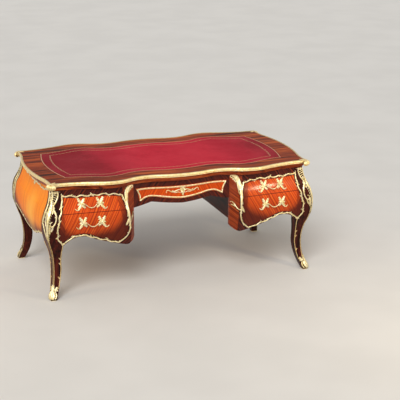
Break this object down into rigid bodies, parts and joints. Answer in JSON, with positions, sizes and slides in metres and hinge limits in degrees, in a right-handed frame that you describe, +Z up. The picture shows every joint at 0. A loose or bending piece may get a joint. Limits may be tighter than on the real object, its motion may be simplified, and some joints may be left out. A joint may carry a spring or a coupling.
{
  "type": "serpentine writing desk",
  "caption": "Free-standing serpentine writing desk with leather top, cabriole legs, gilt mounts, sliding drawers with swinging bail handles and an open kneehole.",
  "frame": {"origin": "centre of the desk's outline on the floor, at the bottom of the feet", "axes": "+X to the right along the length, -Y towards the sitter's side with the drawers, +Z up"},
  "size_m": [1.88, 1.0714, 0.78],
  "materials": {
    "banded_rosewood": "polished",
    "red_leather": "semi matte",
    "gilt_bronze": "satin gilt",
    "dark_rosewood": "polished",
    "tulipwood": "polished",
    "oak": "matte",
    "steel": "satin"
  },
  "bodies": {
    "carcass": {"top_board": "banded_rosewood", "top_leather": "red_leather", "top_edge_moulding": "gilt_bronze", "top_corner_clasps": "gilt_bronze", "top_cove": "dark_rosewood", "centre_face_frame": "dark_rosewood", "centre_back_panel": "tulipwood", "centre_runners": "oak", "face_frames": "dark_rosewood", "back_panels": "tulipwood", "inner_corners": "dark_rosewood", "inner_walls": "dark_rosewood", "end_panels": "tulipwood", "bottom_boards": "oak", "dust_boards": "oak", "drawer_runners": "oak", "frame_mounts": "gilt_bronze", "corner_scrolls": "gilt_bronze", "legs": "dark_rosewood", "leg_sabots": "gilt_bronze", "leg_knee_mounts": "gilt_bronze"},
    "centre_drawer": {"centre_drawer_front": "tulipwood", "centre_drawer_box": "oak", "centre_drawer_lock": "steel", "centre_drawer_mount": "gilt_bronze"},
    "left_upper_drawer": {"left_upper_drawer_front": "tulipwood", "left_upper_drawer_box": "oak", "left_upper_handle_plates": "gilt_bronze"},
    "left_upper_bail": {"left_upper_bail": "gilt_bronze"},
    "left_lower_drawer": {"left_lower_drawer_front": "tulipwood", "left_lower_drawer_box": "oak", "left_lower_handle_plates": "gilt_bronze"},
    "left_lower_bail": {"left_lower_bail": "gilt_bronze"},
    "right_upper_drawer": {"right_upper_drawer_front": "tulipwood", "right_upper_drawer_box": "oak", "right_upper_handle_plates": "gilt_bronze"},
    "right_upper_bail": {"right_upper_bail": "gilt_bronze"},
    "right_lower_drawer": {"right_lower_drawer_front": "tulipwood", "right_lower_drawer_box": "oak", "right_lower_handle_plates": "gilt_bronze"},
    "right_lower_bail": {"right_lower_bail": "gilt_bronze"}
  },
  "joints": [
    {"name": "centre_drawer_slide", "type": "slide", "parent": "carcass", "child": "centre_drawer", "axis": [0, -1, 0], "range_m": [0, 0.33]},
    {"name": "left_upper_drawer_slide", "type": "slide", "parent": "carcass", "child": "left_upper_drawer", "axis": [0, -1, 0], "range_m": [0, 0.4]},
    {"name": "left_upper_bail_hinge", "type": "hinge", "parent": "left_upper_drawer", "child": "left_upper_bail", "pos_m": [-0.632, -0.4936, 0.631], "axis": [-1, 0, 0], "range_deg": [0, 56]},
    {"name": "left_lower_drawer_slide", "type": "slide", "parent": "carcass", "child": "left_lower_drawer", "axis": [0, -1, 0], "range_m": [0, 0.4]},
    {"name": "left_lower_bail_hinge", "type": "hinge", "parent": "left_lower_drawer", "child": "left_lower_bail", "pos_m": [-0.632, -0.5286, 0.514], "axis": [-1, 0, 0], "range_deg": [0, 80]},
    {"name": "right_upper_drawer_slide", "type": "slide", "parent": "carcass", "child": "right_upper_drawer", "axis": [0, -1, 0], "range_m": [0, 0.4]},
    {"name": "right_upper_bail_hinge", "type": "hinge", "parent": "right_upper_drawer", "child": "right_upper_bail", "pos_m": [0.632, -0.4936, 0.631], "axis": [-1, 0, 0], "range_deg": [0, 56]},
    {"name": "right_lower_drawer_slide", "type": "slide", "parent": "carcass", "child": "right_lower_drawer", "axis": [0, -1, 0], "range_m": [0, 0.4]},
    {"name": "right_lower_bail_hinge", "type": "hinge", "parent": "right_lower_drawer", "child": "right_lower_bail", "pos_m": [0.632, -0.5286, 0.514], "axis": [-1, 0, 0], "range_deg": [0, 80]}
  ]
}
